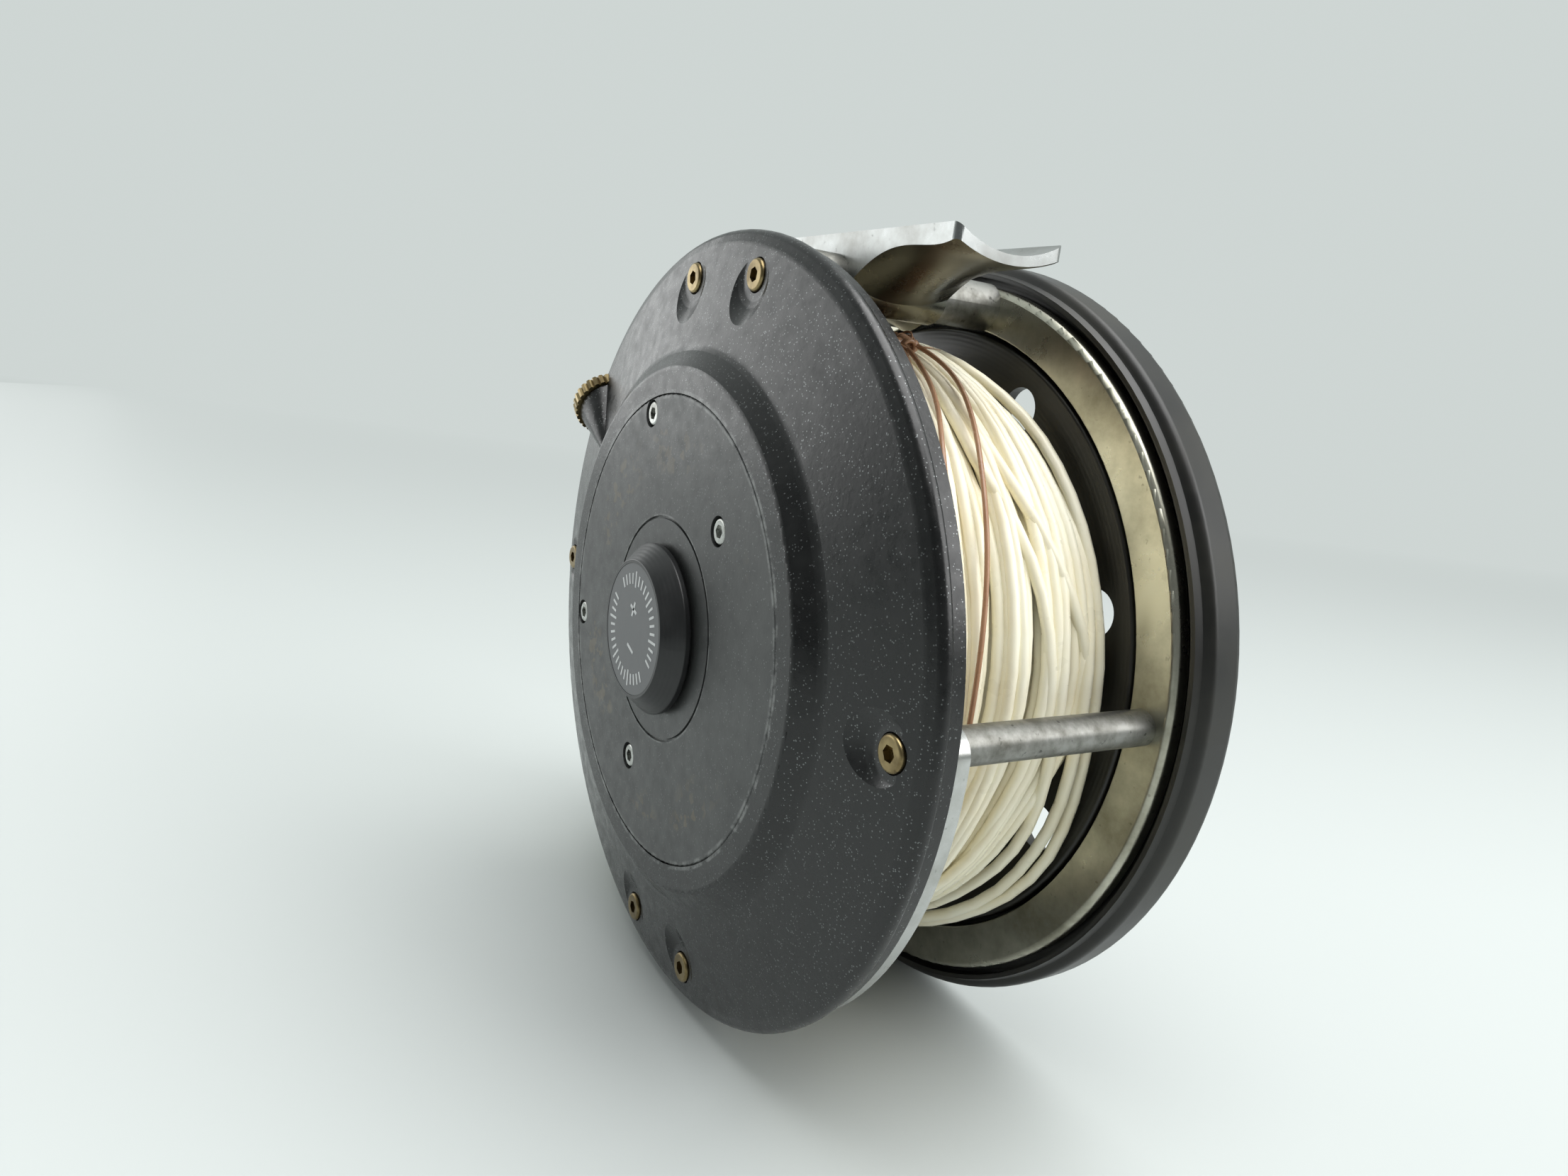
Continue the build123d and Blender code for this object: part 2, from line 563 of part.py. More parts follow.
def flange_holes(start, end):
    """Large holes, small ones half way between them, and an inner ring of holes."""
    cuts = []
    step = 360 / HOLES
    for number in range(HOLES):
        angle = HOLE_PHASE + step * number
        cuts.append(rod(HOLE_R, start, end, *polar(HOLE_AT_R, angle)))
        cuts.append(rod(INNER_HOLE_R, start, end, *polar(INNER_HOLE_AT_R, angle)))
        between = angle + step / 2
        taken = [abs((between - HANDLE_ANGLE) % 180 - turn) < step / 4 for turn in (0, 180)]
        if not any(taken):
            cuts.append(rod(SMALL_HOLE_R, start, end, *polar(SMALL_HOLE_AT_R, between)))
    return cuts


def near_flange():
    hub_r = ARBOR_R - 2
    points = [(AXLE_R + 2, NEAR_FLANGE_Y), (NEAR_FLANGE_R, NEAR_FLANGE_Y), (NEAR_FLANGE_R, NEAR_FLANGE_IN),
              (hub_r, NEAR_FLANGE_IN), (hub_r, NEAR_FLANGE_IN + 1.6), (AXLE_R + 2, NEAR_FLANGE_IN + 1.6)]
    flange = turned(points, {1: 0.5, 2: 0.5})
    for number in range(3):
        x, z = polar(PIN_CIRCLE_R, 30 + 120 * number)
        flange -= rod(0.8, 0, NEAR_FLANGE_Y + 1.2, x, z)
    return flange - flange_holes(0, 20)


def spool_arbor():
    return tube(ARBOR_R, ARBOR_R - 2, NEAR_FLANGE_IN, FAR_FLANGE_Y)


def spool_bush():
    return tube(AXLE_R + 2, AXLE_R + RUN, NEAR_FLANGE_Y + 0.2, FAR_FLANGE_OUT)


def far_flange():
    """Far cheek of the spool, with the rim that overlaps the cage for palming."""
    mouth_r = RIM_IN_R
    points = [
        (AXLE_R + 2, FAR_FLANGE_Y - 1.6), (ARBOR_R - 2, FAR_FLANGE_Y - 1.6), (ARBOR_R - 2, FAR_FLANGE_Y),
        (FAR_FLANGE_R, FAR_FLANGE_Y), (FAR_FLANGE_R, RIM_WEB_Y), (mouth_r, RIM_WEB_Y),
        (mouth_r, RIM_LIP_Y), (mouth_r + 0.6, RIM_LIP_Y), (mouth_r + 0.9, RIM_LIP_Y + 0.9),
        (RIM_R, RIM_LIP_Y + 1.5), (RIM_R, RIM_LIP_Y + RIM_DEPTH), (mouth_r, RIM_LIP_Y + RIM_DEPTH),
        (mouth_r, RIM_WEB_Y + RIM_WEB_T), (FAR_FLANGE_R - 0.9, RIM_WEB_Y + RIM_WEB_T),
        (FAR_FLANGE_R - 0.9, FAR_FLANGE_OUT), (HUB_R, FAR_FLANGE_OUT), (HUB_R, LATCH_Y),
        (AXLE_R + 2, LATCH_Y),
    ]
    flange = turned(points, {3: 0.5, 9: 0.9, 10: 1.2, 15: 1.2})
    x, z = polar(HANDLE_AT_R, HANDLE_ANGLE)
    flange -= rod(1.6, FAR_FLANGE_Y - 1, 60, x, z)
    x, z = polar(HANDLE_AT_R, HANDLE_ANGLE + 180)
    flange -= rod(1.0, FAR_FLANGE_Y - 1, 60, x, z)
    for x, z in CAP_SCREWS:
        flange -= rod(0.8, LATCH_Y - 3, 60, x, z)
    return flange - flange_holes(30, 60)


# ---- spool latch ----
LATCH_W = 8.4
LATCH_LOW = -7.8          # ends of the slide, from the axle's centre
LATCH_HIGH = 6.5
LATCH_TRAVEL = 3.8
LATCH_SPRING_X = 5.9
LATCH_SPRING_TOP = 9.6
LATCH_EAR_TOP = 1.6
CAP_T = 1.2


def latch_slide():
    """A keyhole plate: its narrow end sits in the axle's groove, its thumb tab stands above the cap."""
    y = LATCH_Y + LATCH_T / 2
    length = LATCH_HIGH - LATCH_LOW
    slot_r = AXLE_GROOVE_R + RUN
    plate = Pos(0, y, (LATCH_HIGH + LATCH_LOW) / 2) * Box(LATCH_W, LATCH_T, length)
    plate += Pos(LATCH_SPRING_X - 1.3, y, LATCH_EAR_TOP - 1.0) * Box(4.2, LATCH_T, 2.0)
    plate -= rod(slot_r, 0, 80)
    plate -= Pos(0, y, -LATCH_TRAVEL / 2) * Box(2 * slot_r, LATCH_T + 1, LATCH_TRAVEL)
    plate -= rod(AXLE_R + 0.15, 0, 80, 0, -LATCH_TRAVEL)
    tab_h = HUB_TOP + CAP_T + 1.8 - LATCH_Y
    return plate + Pos(0, LATCH_Y + tab_h / 2, LATCH_HIGH - 1.0) * Box(6.0, tab_h, 2.0)


def latch_spring():
    """Pushes the slide's ear back towards the axle."""
    wire = 0.16
    length = LATCH_SPRING_TOP - LATCH_EAR_TOP - 2 * wire
    path = Helix(length / 7, length, 0.45)
    coil = sweep(Plane(origin=path @ 0, z_dir=path % 0) * Circle(wire), path)
    return Pos(LATCH_SPRING_X, LATCH_Y + LATCH_T / 2, LATCH_EAR_TOP + wire) * coil


def latch_cap():
    """A shallow cup over the latch, held by two screws."""
    cap = rod(HUB_R - 0.3, LATCH_Y, HUB_TOP + CAP_T)
    cap = fillet(cap.edges().group_by(Axis.Y)[-1], 0.8)
    room = LATCH_T + 0.2
    low = LATCH_LOW - 0.2
    high = LATCH_HIGH + LATCH_TRAVEL + 0.2
    cap -= Pos(0, LATCH_Y + room / 2, (low + high) / 2) * Box(LATCH_W + 0.4, room, high - low)
    pocket_low = LATCH_EAR_TOP - 2.2
    pocket = Box(2.8, room, LATCH_SPRING_TOP - pocket_low)
    cap -= Pos(LATCH_SPRING_X - 0.4, LATCH_Y + room / 2, (LATCH_SPRING_TOP + pocket_low) / 2) * pocket
    cap -= Pos(0, HUB_TOP, LATCH_HIGH - 1.0 + LATCH_TRAVEL / 2) * Box(6.6, 12, 2.6 + LATCH_TRAVEL)
    cap -= rod(AXLE_R + 0.6, LATCH_Y - 1, HUB_TOP + 0.7)
    for x, z in CAP_SCREWS:
        cap -= rod(0.8 + SCREW_PLAY, 0, 80, x, z)
        cap -= Pos(x, HUB_TOP + CAP_T - 0.48, z) * Rot(-90, 0, 0) * Cone(0.8, 1.6 + SCREW_PLAY, 0.96)
    return cap


def latch_cap_screws():
    length = HUB_TOP + CAP_T - LATCH_Y + 2.4
    return [Pos(x, HUB_TOP + CAP_T, z) * countersunk_screw(1.6, 0.8, length) for x, z in CAP_SCREWS]


# ---- handle and counterweight ----
HANDLE_GAP = 0.4
POST_R = 2.0


def handle_post():
    x, z = polar(HANDLE_AT_R, HANDLE_ANGLE)
    base = FAR_FLANGE_OUT
    post = rod(3.4, base, base + 1.2, x, z) + rod(POST_R, base + 1.2, base + HANDLE_L + 2.0, x, z)
    return post + rod(1.6, FAR_FLANGE_Y + 0.2, base, x, z)


def handle_knob():
    """A tapered grip that turns on the post."""
    low = FAR_FLANGE_OUT + 1.2 + HANDLE_GAP
    high = low + HANDLE_L
    points = [(POST_R + RUN, low), (4.2, low), (5.6, high - 5), (5.6, high - 1), (3.4, high),
              (3.4, high - 1.6), (POST_R + RUN, high - 1.6)]
    x, z = polar(HANDLE_AT_R, HANDLE_ANGLE)
    return Pos(x, 0, z) * turned(points, {1: 0.6, 2: 3.0, 3: 1.5})


def handle_screw():
    """Its head stands on the post's end and keeps the knob on."""
    x, z = polar(HANDLE_AT_R, HANDLE_ANGLE)
    seat = FAR_FLANGE_OUT + HANDLE_L + 2.0
    return rod(2.9, seat, seat + 0.7, x, z)


def counterweight():
    x, z = polar(HANDLE_AT_R, HANDLE_ANGLE + 180)
    weight = fillet(rod(5.5, FAR_FLANGE_OUT, FAR_FLANGE_OUT + 4.0, x, z).edges().group_by(Axis.Y)[-1], 1.0)
    return weight + rod(1.0, FAR_FLANGE_Y + 0.2, FAR_FLANGE_OUT, x, z)


# ---- line ----
def backing_winding():
    return tube(BACKING_R, ARBOR_R, NEAR_FLANGE_IN, FAR_FLANGE_Y)


def fly_line_winding():
    return tube(LINE_R, BACKING_R, NEAR_FLANGE_IN, FAR_FLANGE_Y)


# ---- leader ----
LEADER_LAY_R = LINE_R + LINE_BULGE + LEADER_D / 2 + 0.1
KNOT_ANGLE = 72.0
KNOT_Y = 17.8
KNOT_R = 0.8
KNOT_L = 4.4
# Three passes over the line, as (degrees round the spool from +X, distance from the plate's edge).
# They cross the knot side by side and run on down the front, then round the bottom and the back.
LEADER_ROUTE = [
    (84, 16.9), (72, 16.6), (60, 13.6), (49, 10.0), (38, 8.0), (24, 7.4), (6, 7.3), (-16, 7.5),
    (-41, 8.2), (-67, 9.3), (-93, 10.9), (-119, 12.6), (-145, 14.3), (-171, 15.7), (-197, 16.9),
    (-223, 17.9), (-246, 18.3), (-266, 18.2), (-282, 17.8), (-294, 16.4), (-306, 14.6), (-318, 11.4),
    (-330, 9.3), (-345, 8.5), (-364, 8.3), (-388, 8.7), (-414, 9.9), (-440, 12.1), (-466, 14.6),
    (-492, 16.9), (-518, 18.6), (-544, 19.6), (-570, 20.1), (-594, 20.0), (-615, 19.6), (-632, 19.1),
    (-646, 19.0), (-658, 20.4), (-669, 18.6), (-682, 15.9), (-696, 13.8), (-711, 11.9), (-728, 11.2),
    (-749, 11.6), (-774, 12.9), (-800, 14.8), (-826, 16.9), (-850, 18.9),
]


def leader_points():
    """Corners stand out from the lay radius, so that the runs between them stay off the line."""
    points = []
    for number, (angle, y) in enumerate(LEADER_ROUTE):
        before = LEADER_ROUTE[max(number - 1, 0)][0]
        after = LEADER_ROUTE[min(number + 1, len(LEADER_ROUTE) - 1)][0]
        half_step = math.radians(max(before - angle, angle - after)) / 2
        x, z = polar(LEADER_LAY_R / math.cos(half_step), angle)
        points.append(Vector(x, y, z))
    return points


def leader():
    points = leader_points()
    radii = []
    for before, corner, after in zip(points, points[1:], points[2:]):
        shorter = min((corner - before).length, (after - corner).length)
        half_turn = math.radians((corner - before).get_angle(after - corner)) / 2
        radii.append(0.45 * shorter / math.tan(half_turn))
    print("leader radii", [round(radius, 1) for radius in radii])
    path = FilletPolyline(*points, radius=radii)
    strand = sweep(Plane(origin=path @ 0, z_dir=path % 0) * Circle(LEADER_D / 2), path)
    print("leader length", round(path.length, 1), "volume share",
          round(strand.volume / (path.length * math.pi * (LEADER_D / 2)**2), 4))
    return strand


def leader_knot():
    x, z = polar(LEADER_LAY_R, KNOT_ANGLE)
    knot = rod(KNOT_R, KNOT_Y - KNOT_L / 2, KNOT_Y + KNOT_L / 2, x, z)
    return fillet(knot.edges().filter_by(GeomType.CIRCLE), KNOT_R - 0.05)


def main():
    nodes = {
        "back_plate": back_plate, "cover_disc": cover_disc, "cover_screws": cover_screws,
        "near_cage_ring": near_ring, "far_cage_ring": far_ring, "cage_pillars": cage_pillars,
        "foot_pillars": foot_pillars, "rear_pillar_screws": rear_pillar_screws,
        "front_ring_screws": front_ring_screws, "reel_foot": reel_foot,
        "mechanism_plate": mechanism_plate, "axle": axle, "drag_cross_key": drag_cross_key,
        "pressure_collar": pressure_collar, "friction_washer": friction_washer,
        "drag_knob": drag_knob, "knob_badge": knob_badge, "drag_screw": drag_screw,
        "check_gear": check_gear, "gear_pins": gear_pins, "check_pawl": check_pawl,
        "pawl_post": pawl_post, "check_spring": check_spring, "check_bracket": check_bracket,
        "tension_block": tension_block, "adjuster_screw": adjuster_screw,
        "adjuster_wheel": adjuster_wheel, "near_flange": near_flange, "spool_arbor": spool_arbor,
        "spool_bush": spool_bush, "far_flange": far_flange, "latch_slide": latch_slide,
        "latch_spring": latch_spring, "latch_cap": latch_cap, "latch_cap_screws": latch_cap_screws,
        "handle_post": handle_post, "handle_knob": handle_knob, "handle_screw": handle_screw, "counterweight": counterweight,
        "backing_winding": backing_winding, "fly_line_winding": fly_line_winding,
        "leader": leader, "leader_knot": leader_knot,
    }
    os.makedirs("parts", exist_ok=True)
    to_origin = Pos(0, -FOOT_MID_Y, -FOOT_SEAT_Z)
    for name, make in nodes.items():
        made = make()
        piece = Compound(children=[to_origin * solid for solid in made]) if isinstance(made, list) \
            else to_origin * made
        export_step(piece, os.path.join("parts", name + ".step"))
        print(name)


main()
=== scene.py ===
# %% [markdown]
# A fly reel is a spool of line that turns inside a light cage. The CAD model already holds every
# hard piece in its true place, so this lesson loads it as a fixed frame, gives each piece a
# finish that shows what it is made of, and adds what CAD leaves plain: the wound line, the thin
# leader and its knot, wear, and small marks.

# %% Load the frame
import json
import math
import random

import bmesh
import bpy
from mathutils import Matrix, Vector


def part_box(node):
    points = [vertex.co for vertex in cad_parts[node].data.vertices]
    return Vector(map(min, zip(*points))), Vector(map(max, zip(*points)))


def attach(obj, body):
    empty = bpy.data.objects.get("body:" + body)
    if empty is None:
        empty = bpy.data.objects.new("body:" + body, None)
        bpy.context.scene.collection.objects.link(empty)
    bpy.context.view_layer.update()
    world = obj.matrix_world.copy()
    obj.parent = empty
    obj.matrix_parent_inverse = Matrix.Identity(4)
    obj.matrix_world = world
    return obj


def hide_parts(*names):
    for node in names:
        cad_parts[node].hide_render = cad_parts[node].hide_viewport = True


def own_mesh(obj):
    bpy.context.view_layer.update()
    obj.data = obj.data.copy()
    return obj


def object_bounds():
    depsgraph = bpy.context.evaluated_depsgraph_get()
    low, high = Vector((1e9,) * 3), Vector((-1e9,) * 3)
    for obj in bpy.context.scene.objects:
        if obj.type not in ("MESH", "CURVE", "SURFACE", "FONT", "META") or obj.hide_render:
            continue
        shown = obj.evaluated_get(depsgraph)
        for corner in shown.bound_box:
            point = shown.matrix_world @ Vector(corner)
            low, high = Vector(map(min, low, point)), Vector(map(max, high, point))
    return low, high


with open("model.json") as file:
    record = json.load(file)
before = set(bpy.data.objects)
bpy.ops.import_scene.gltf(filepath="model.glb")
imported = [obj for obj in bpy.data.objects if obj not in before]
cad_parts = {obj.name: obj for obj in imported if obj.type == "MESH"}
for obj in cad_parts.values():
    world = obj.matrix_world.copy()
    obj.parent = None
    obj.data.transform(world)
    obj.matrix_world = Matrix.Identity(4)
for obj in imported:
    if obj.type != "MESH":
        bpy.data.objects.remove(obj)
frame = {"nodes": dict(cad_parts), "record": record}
cad_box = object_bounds()

# %% [markdown]
# All round pieces share the spool's axis, which runs along Y. Two numbers place everything:
# the height of that axis, and where the back plate's edge stands. Both come from the packed
# boxes, so the looks follow the CAD model if it is packed again.

# %% Axis, edge and a polar helper
CAGE_WIDTH = 0.0334  # from the plate's edge to the far ring
axle_low, axle_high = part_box("axle")
AXIS_Z = (axle_low[2] + axle_high[2]) / 2
EDGE_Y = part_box("far_cage_ring")[0][1] - CAGE_WIDTH
line_low, line_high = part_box("fly_line_winding")


def on_spool(degrees, radius, depth):
    """A point from its angle round the axis, its radius, and its depth behind the plate's edge."""
    turn = math.radians(degrees)
    return Vector((radius * math.cos(turn), EDGE_Y + depth, AXIS_Z + radius * math.sin(turn)))


print("axis at z", round(AXIS_Z, 5), "plate edge at y", round(EDGE_Y, 5))

# %% [markdown]
# The camera comes first, because everything after it is judged through it. A wide lens close
# to the reel makes the near plate look large and the far rim small. A rotation built from the
# camera's own right, up and back directions holds a slight roll with no trial and error.

# %% Camera
CAMERA_AT = (0.1183, -0.0769, AXIS_Z + 0.0335)
camera = bpy.data.objects.new("camera", bpy.data.cameras.new("camera"))
bpy.context.scene.collection.objects.link(camera)
right = Vector((0.501, 0.858, 0.116))
up = Vector((-0.231, 0.002, 0.973))
back = Vector((0.834, -0.514, 0.199))
turned = Matrix((right, up, back)).transposed().to_4x4()
camera.matrix_world = Matrix.Translation(CAMERA_AT) @ turned
camera.data.lens = 23.53
camera.data.sensor_width = 36
camera.data.clip_start = 0.005
bpy.context.scene.camera = camera
bpy.context.scene.view_settings.view_transform = "Standard"
print("camera lens", camera.data.lens)

# %% [markdown]
# The fly line is a soft coated cord about 27 m long. It is one spline that winds round the
# spool in layers. Laying it by rule alone looks machined, so each turn rests on a small map of
# how high the line already stands: where turns cross, the upper one rides over the lower one.

# %% Wind the fly line
LINE_D = 0.0015
LAY = 0.00025  # width of one cell of the height map
SAMPLES = 30  # control points in one turn
START_ANGLE = 150
LAYER_STEP = 0.00116  # how far each neat layer stands above the last
NEAT_COUNTS = (18, 17)  # turns in even and in odd layers
NEAT_LEAN = (0.0, 0.3, 0.7, 1.0, 1.0)
NEAT_SAG = 0.30
SAG_WAVE = (-40, 62)
LOOSE_LAYERS = ((15, 0.0012), (13, 0.0018))  # turns, and how far each may stray
LOOSE_HIGH = 0.0247
CROSSING = 0.0125  # the depth that loose turns lean towards over the top
SLACK_WAVE = (-42, 60)
BRIDGE_PASSES = 3
SOFT_R = 0.0386  # past this radius a turn presses into the ones below it
SOFT_SHARE = 0.55
MOST_R = 0.0423
dice = random.Random(7)
width = line_high[1] - line_low[1]
core_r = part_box("backing_winding")[1][0]
print("core radius", round(core_r, 5), "width", round(width, 5))


class Drum:
    """Remembers the line's height at every angle and depth while turns are laid on it."""

    def __init__(self):
        self.cells = int(width / LAY) + 1
        self.height = [[core_r] * self.cells for _ in range(SAMPLES)]

    def under(self, depth):
        """The cells beneath a line at this depth, each with the line's half height there."""
        middle = depth / LAY
        reach = LINE_D / 2 / LAY
        first = max(0, math.ceil(middle - reach))
        last = min(self.cells - 1, int(middle + reach))
        for cell in range(first, last + 1):
            off = (cell - middle) * LAY
            yield cell, math.sqrt(max(0, (LINE_D / 2) ** 2 - off * off))

    def rest(self, sample, depth):
        """The radius at which a line laid here comes to rest."""
        heights = self.height[sample]
        return max([core_r] + [heights[cell] + half for cell, half in self.under(depth)])

    def lay(self, sample, depth, radius):
        """Raises the map to the top of a line laid here."""
        heights = self.height[sample]
        for cell, half in self.under(depth):
            heights[cell] = max(heights[cell], radius + half)


def wave(degrees, middle, half_width):
    """A smooth bump that is 1 at the middle angle and 0 beyond its half width."""
    off = abs((degrees - middle + 180) % 360 - 180) / half_width
    return 0.5 + 0.5 * math.cos(math.pi * off) if off < 1 else 0.0


def eased(keys, degrees):
    """Reads a value between (angle, value) keys with soft ends."""
    for (first, low), (second, high) in zip(keys, keys[1:]):
        if degrees <= second:
            share = (degrees - first) / (second - first)
            share = share * share * (3 - 2 * share)
            return low + (high - low) * share
    return keys[-1][1]


def neat_turn(begin, end, lean):
    """A turn of the neat inner layers, which sags towards the near side low in front."""
    depths = []
    for sample in range(SAMPLES):
        degrees = START_ANGLE + 360 * sample / SAMPLES
        depth = eased([(START_ANGLE, begin), (START_ANGLE + 360, end)], degrees)
        depths.append(depth - (depth - LINE_D) * NEAT_SAG * wave(degrees, *SAG_WAVE) * lean)
    return depths


def loose_turn(begin, front, end):
    """A turn laid in a hurry: where it runs in front decides its keys, and a little chance."""
    top = CROSSING
    near = LINE_D
    keys = [
        (150, begin),
        (215, (begin + front) / 2 + dice.uniform(-1, 1) / 1000),
        (270, near + (front - near) * 0.78 + dice.uniform(-8, 8) / 10000),
        (305, near + (front - near) * 0.68 + dice.uniform(-6, 6) / 10000),
        (335, near + (front - near) * 0.80 + dice.uniform(-6, 6) / 10000),
        (362, front),
        (388, front + (top - front) * 0.10 + dice.uniform(-6, 6) / 10000),
        (410, front + (top - front) * 0.26 + dice.uniform(-1, 1) / 1000),
        (432, front + (top - front) * 0.42 + dice.uniform(-1, 1) / 1000),
        (470, front + (top - front) * 0.25),
        (510, end),
    ]
    return [eased(keys, START_ANGLE + 360 * sample / SAMPLES) for sample in range(SAMPLES)]


def hand_turn(keys):
    """A turn whose depths behind the near flange were chosen one by one, in millimetres."""
    keys = [(degrees, depth / 1000) for degrees, depth in keys]
    return [eased(keys, START_ANGLE + 360 * sample / SAMPLES) for sample in range(SAMPLES)]


# The last turns, laid on top: two that cross to the far side, and the slack ones beside the rim.
LAST_TURNS = [
    ([(150, 9), (215, 10), (270, 9), (305, 10), (335, 15), (360, 18.5), (375, 17),
      (390, 14.7), (402, 11.1), (420, 11.5), (470, 14), (510, 15)], 0.0),
    ([(150, 15), (215, 20), (270, 21), (305, 20.5), (335, 24), (366, 24.3), (380, 21.3),
      (396, 16.2), (405, 13.2), (427, 12.2), (470, 15), (510, 18)], 0.0),
    ([(150, 18), (215, 20), (270, 15), (300, 19.6), (313, 21.2), (336, 21.7), (346, 20.7),
      (353, 19.3), (390, 20), (410, 19), (432, 16), (470, 17), (510, 19)], 0.0016),
    ([(150, 19), (215, 19), (270, 16), (300, 21), (325, 25.0), (336, 24.4), (346, 23.9),
      (352, 22.9), (390, 24.6), (410, 24), (432, 21.5), (470, 19), (510, 20)], 0.0022),
    ([(150, 20), (215, 20), (270, 17), (300, 22), (325, 26.2), (345, 26.2), (352, 25.4),
      (390, 25.2), (412, 24.5), (432, 22), (470, 20), (510, 20)], 0.0028),
]


def plan():
    """Every turn's depths, with the slack that lets it hang low in front."""
    low, high = LINE_D / 2, width - LINE_D / 2
    starts = []
    forward = True
    for layer, lean in enumerate(NEAT_LEAN):
        count = NEAT_COUNTS[layer % 2]
        for number in range(count):
            share = number / (count - 1)
            share = share if forward else 1 - share
            starts.append((low + (high - low) * share, lean, layer))
        forward = not forward
    turns = []
    for (begin, lean, layer), (end, _, _) in zip(starts, starts[1:] + starts[-1:]):
        turns.append((neat_turn(begin, end, lean), 0.0, layer))
    begin = starts[-1][0]
    for count, spread in LOOSE_LAYERS:
        for number in range(count):
            share = number / (count - 1)
            share = share if forward else 1 - share
            front = low + (LOOSE_HIGH - low) * share + dice.uniform(-spread, spread)
            front = min(LOOSE_HIGH, max(low, front))
            turns.append((loose_turn(begin, front, front), 0.0, None))
            begin = front
        forward = not forward
    return turns + [(hand_turn(keys), slack, None) for keys, slack in LAST_TURNS]


def wind():
    """Lays each turn on the drum, then lets taut stretches bridge the hollows between crossings."""
    drum = Drum()
    points = []
    # A quadratic spline cuts inside its control points, so they stand a little further out.
    lift = 1 / (0.75 + 0.25 * math.cos(2 * math.pi / SAMPLES))
    for depths, slack, layer in plan():
        depths = [min(width - LINE_D / 2, max(LINE_D / 2, depth)) for depth in depths]
        if layer is None:
            rests = [drum.rest(sample, depth) for sample, depth in enumerate(depths)]
        else:
            rests = [core_r + LINE_D / 2 + LAYER_STEP * layer] * SAMPLES
        for _ in range(BRIDGE_PASSES):
            around = zip(rests[-1:] + rests[:-1], rests, rests[1:] + rests[:1])
            rests = [max(here, (before + after) / 2) for before, here, after in around]
        for sample, (depth, radius) in enumerate(zip(depths, rests)):
            degrees = START_ANGLE + 360 * sample / SAMPLES
            if radius > SOFT_R:
                radius = SOFT_R + (radius - SOFT_R) * SOFT_SHARE
            radius = min(MOST_R, radius + slack * wave(degrees, *SLACK_WAVE))
            drum.lay(sample, depth, radius)
            points.append(on_spool(degrees, radius * lift, line_low[1] - EDGE_Y + depth))
    return points


def cord_curve(name, points, diameter, steps=2):
    """A round NURBS cord. Its bevel is one metre, so each point's radius is the cord's own."""
    data = bpy.data.curves.new(name, "CURVE")
    data.dimensions = "3D"
    data.bevel_depth = 1.0
    data.bevel_resolution = 2
    data.use_fill_caps = True
    data.resolution_u = steps
    spline = data.splines.new("NURBS")
    spline.points.add(len(points) - 1)
    for slot, point in zip(spline.points, points):
        slot.co = (*point, 1)
        slot.radius = diameter / 2
    spline.order_u = 3
    spline.use_endpoint_u = True
    piece = bpy.data.objects.new(name, data)
    bpy.context.scene.collection.objects.link(piece)
    return piece


line_points = wind()
fly_line = cord_curve("fly_line", line_points, LINE_D)
length = sum((b - a).length for a, b in zip(line_points, line_points[1:]))
top = max(math.hypot(p.x, p.z - AXIS_Z) for p in line_points)
print("turns", len(line_points) / SAMPLES, "length", round(length, 2), "top", round(top, 5))
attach(fly_line, "spool")
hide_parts("fly_line_winding")

# %% [markdown]
# The leader is the clear thin end of the tackle. It is knotted to the line at the top and then
# wound loosely over it, two and a half times round. Its route is the same list of angles and
# depths that the CAD solid follows, and one smooth spline through it gives the soft curve.

# %% Leader
LEADER_D = 0.0006
LEADER_LAY_R = 0.0416
# Angle round the axis in degrees, and depth behind the plate's edge in millimetres.
LEADER_ROUTE = [
    (84, 16.9), (72, 16.6), (60, 13.6), (49, 10.0), (38, 8.0), (24, 7.4), (6, 7.3), (-16, 7.5),
    (-41, 8.2), (-67, 9.3), (-93, 10.9), (-119, 12.6), (-145, 14.3), (-171, 15.7), (-197, 16.9),
    (-223, 17.9), (-246, 18.3), (-266, 18.2), (-282, 17.8), (-294, 16.4), (-306, 14.6), (-318, 11.4),
    (-330, 9.3), (-345, 8.5), (-364, 8.3), (-388, 8.7), (-414, 9.9), (-440, 12.1), (-466, 14.6),
    (-492, 16.9), (-518, 18.6), (-544, 19.6), (-570, 20.1), (-594, 20.0), (-615, 19.6), (-632, 19.1),
    (-646, 19.0), (-658, 20.4), (-669, 18.6), (-682, 15.9), (-696, 13.8), (-711, 11.9), (-728, 11.2),
    (-749, 11.6), (-774, 12.9), (-800, 14.8), (-826, 16.9), (-850, 18.9),
]
leader_points = []
for number, (degrees, depth) in enumerate(LEADER_ROUTE):
    before = LEADER_ROUTE[max(number - 1, 0)][0]
    after = LEADER_ROUTE[min(number + 1, len(LEADER_ROUTE) - 1)][0]
    half_step = math.radians(max(before - degrees, degrees - after)) / 2
    leader_points.append(on_spool(degrees, LEADER_LAY_R / math.cos(half_step), depth / 1000))
leader = cord_curve("leader_strand", leader_points, LEADER_D, steps=6)
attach(leader, "spool")
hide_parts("leader")
print("leader points", len(leader_points))

# %% [markdown]
# Every finish is a small network of nodes. A few helpers keep the cells short: one adds a node
# with its settings and inputs in one line, one starts a material and hands over its tree, and
# the others stand for the nodes that come back in every finish.

# %% Material helpers
def put(tree, socket, value):
    """Links another node's socket to an input, or sets the input to a plain value."""
    if isinstance(value, bpy.types.NodeSocket):
        tree.links.new(value, socket)
    else:
        socket.default_value = value


